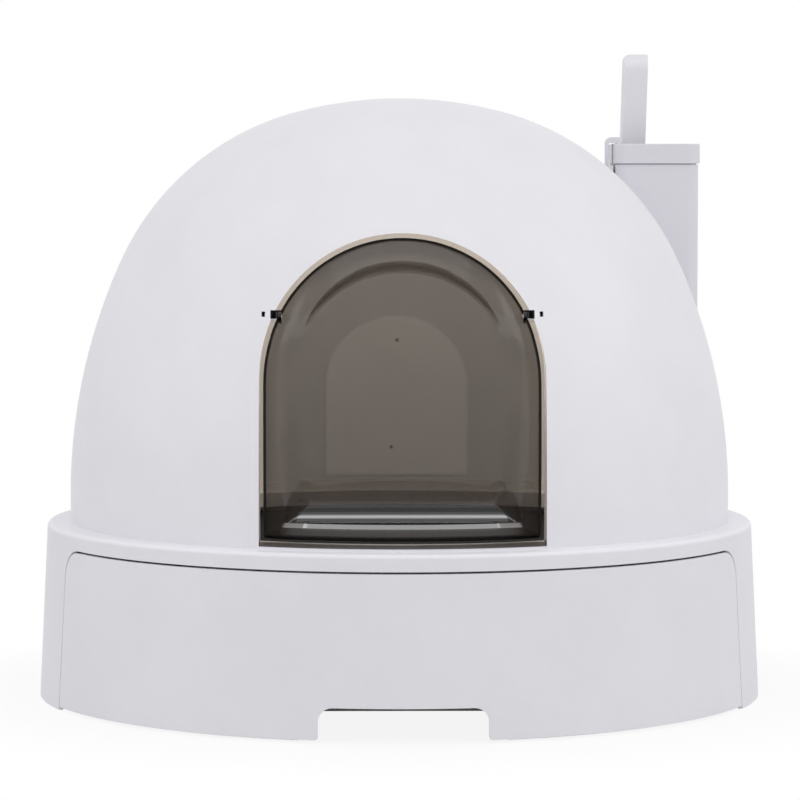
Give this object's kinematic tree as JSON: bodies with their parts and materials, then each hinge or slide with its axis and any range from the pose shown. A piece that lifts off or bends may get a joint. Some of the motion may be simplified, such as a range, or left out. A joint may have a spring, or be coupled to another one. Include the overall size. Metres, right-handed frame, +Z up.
{
  "type": "cat_litter_box",
  "caption": "Domed cat litter box with a see-through swing flap, a round base with a pull-out drawer pan, and a scoop in a hooked-on side holder.",
  "frame": {"origin": "middle of the underside, on the surface that the box stands on", "axes": "X across, positive towards the scoop holder; the doorway and drawer face -Y; Z up"},
  "size_m": [0.5399, 0.5388, 0.4826],
  "materials": {
    "white_plastic": "fine satin, injection moulded",
    "smoked_plastic": "clear, polished, smoke-tinted",
    "dark_plastic": "satin, injection moulded",
    "steel": "zinc plated"
  },
  "bodies": {
    "base": {"base_housing": "white_plastic", "base_plate": "white_plastic", "base_screws": "steel"},
    "drawer": {"litter_pan": "dark_plastic", "drawer_front": "white_plastic"},
    "dome": {"dome_shell": "white_plastic", "holder_bracket": "white_plastic", "bracket_screws": "steel"},
    "flap": {"entry_flap": "smoked_plastic"},
    "holder": {"holder_bucket": "white_plastic", "holder_collar": "white_plastic"},
    "scoop": {"litter_scoop": "white_plastic"}
  },
  "joints": [
    {"name": "drawer_slide", "type": "slide", "parent": "base", "child": "drawer", "axis": [0, -1, 0], "range_m": [0, 0.4]},
    {"name": "dome_lift", "type": "slide", "parent": "base", "child": "dome", "axis": [0, 0, 1], "range_m": [0, 0.25]},
    {"name": "flap_hinge", "type": "hinge", "parent": "dome", "child": "flap", "pos_m": [0, -0.1984, 0.2905], "axis": [1, 0, 0], "range_deg": [-80, 70]},
    {"name": "holder_lift", "type": "slide", "parent": "dome", "child": "holder", "axis": [0, 0, 1], "range_m": [0, 0.09]},
    {"name": "scoop_lift", "type": "slide", "parent": "holder", "child": "scoop", "axis": [0, 0, 1], "range_m": [0, 0.2]}
  ]
}
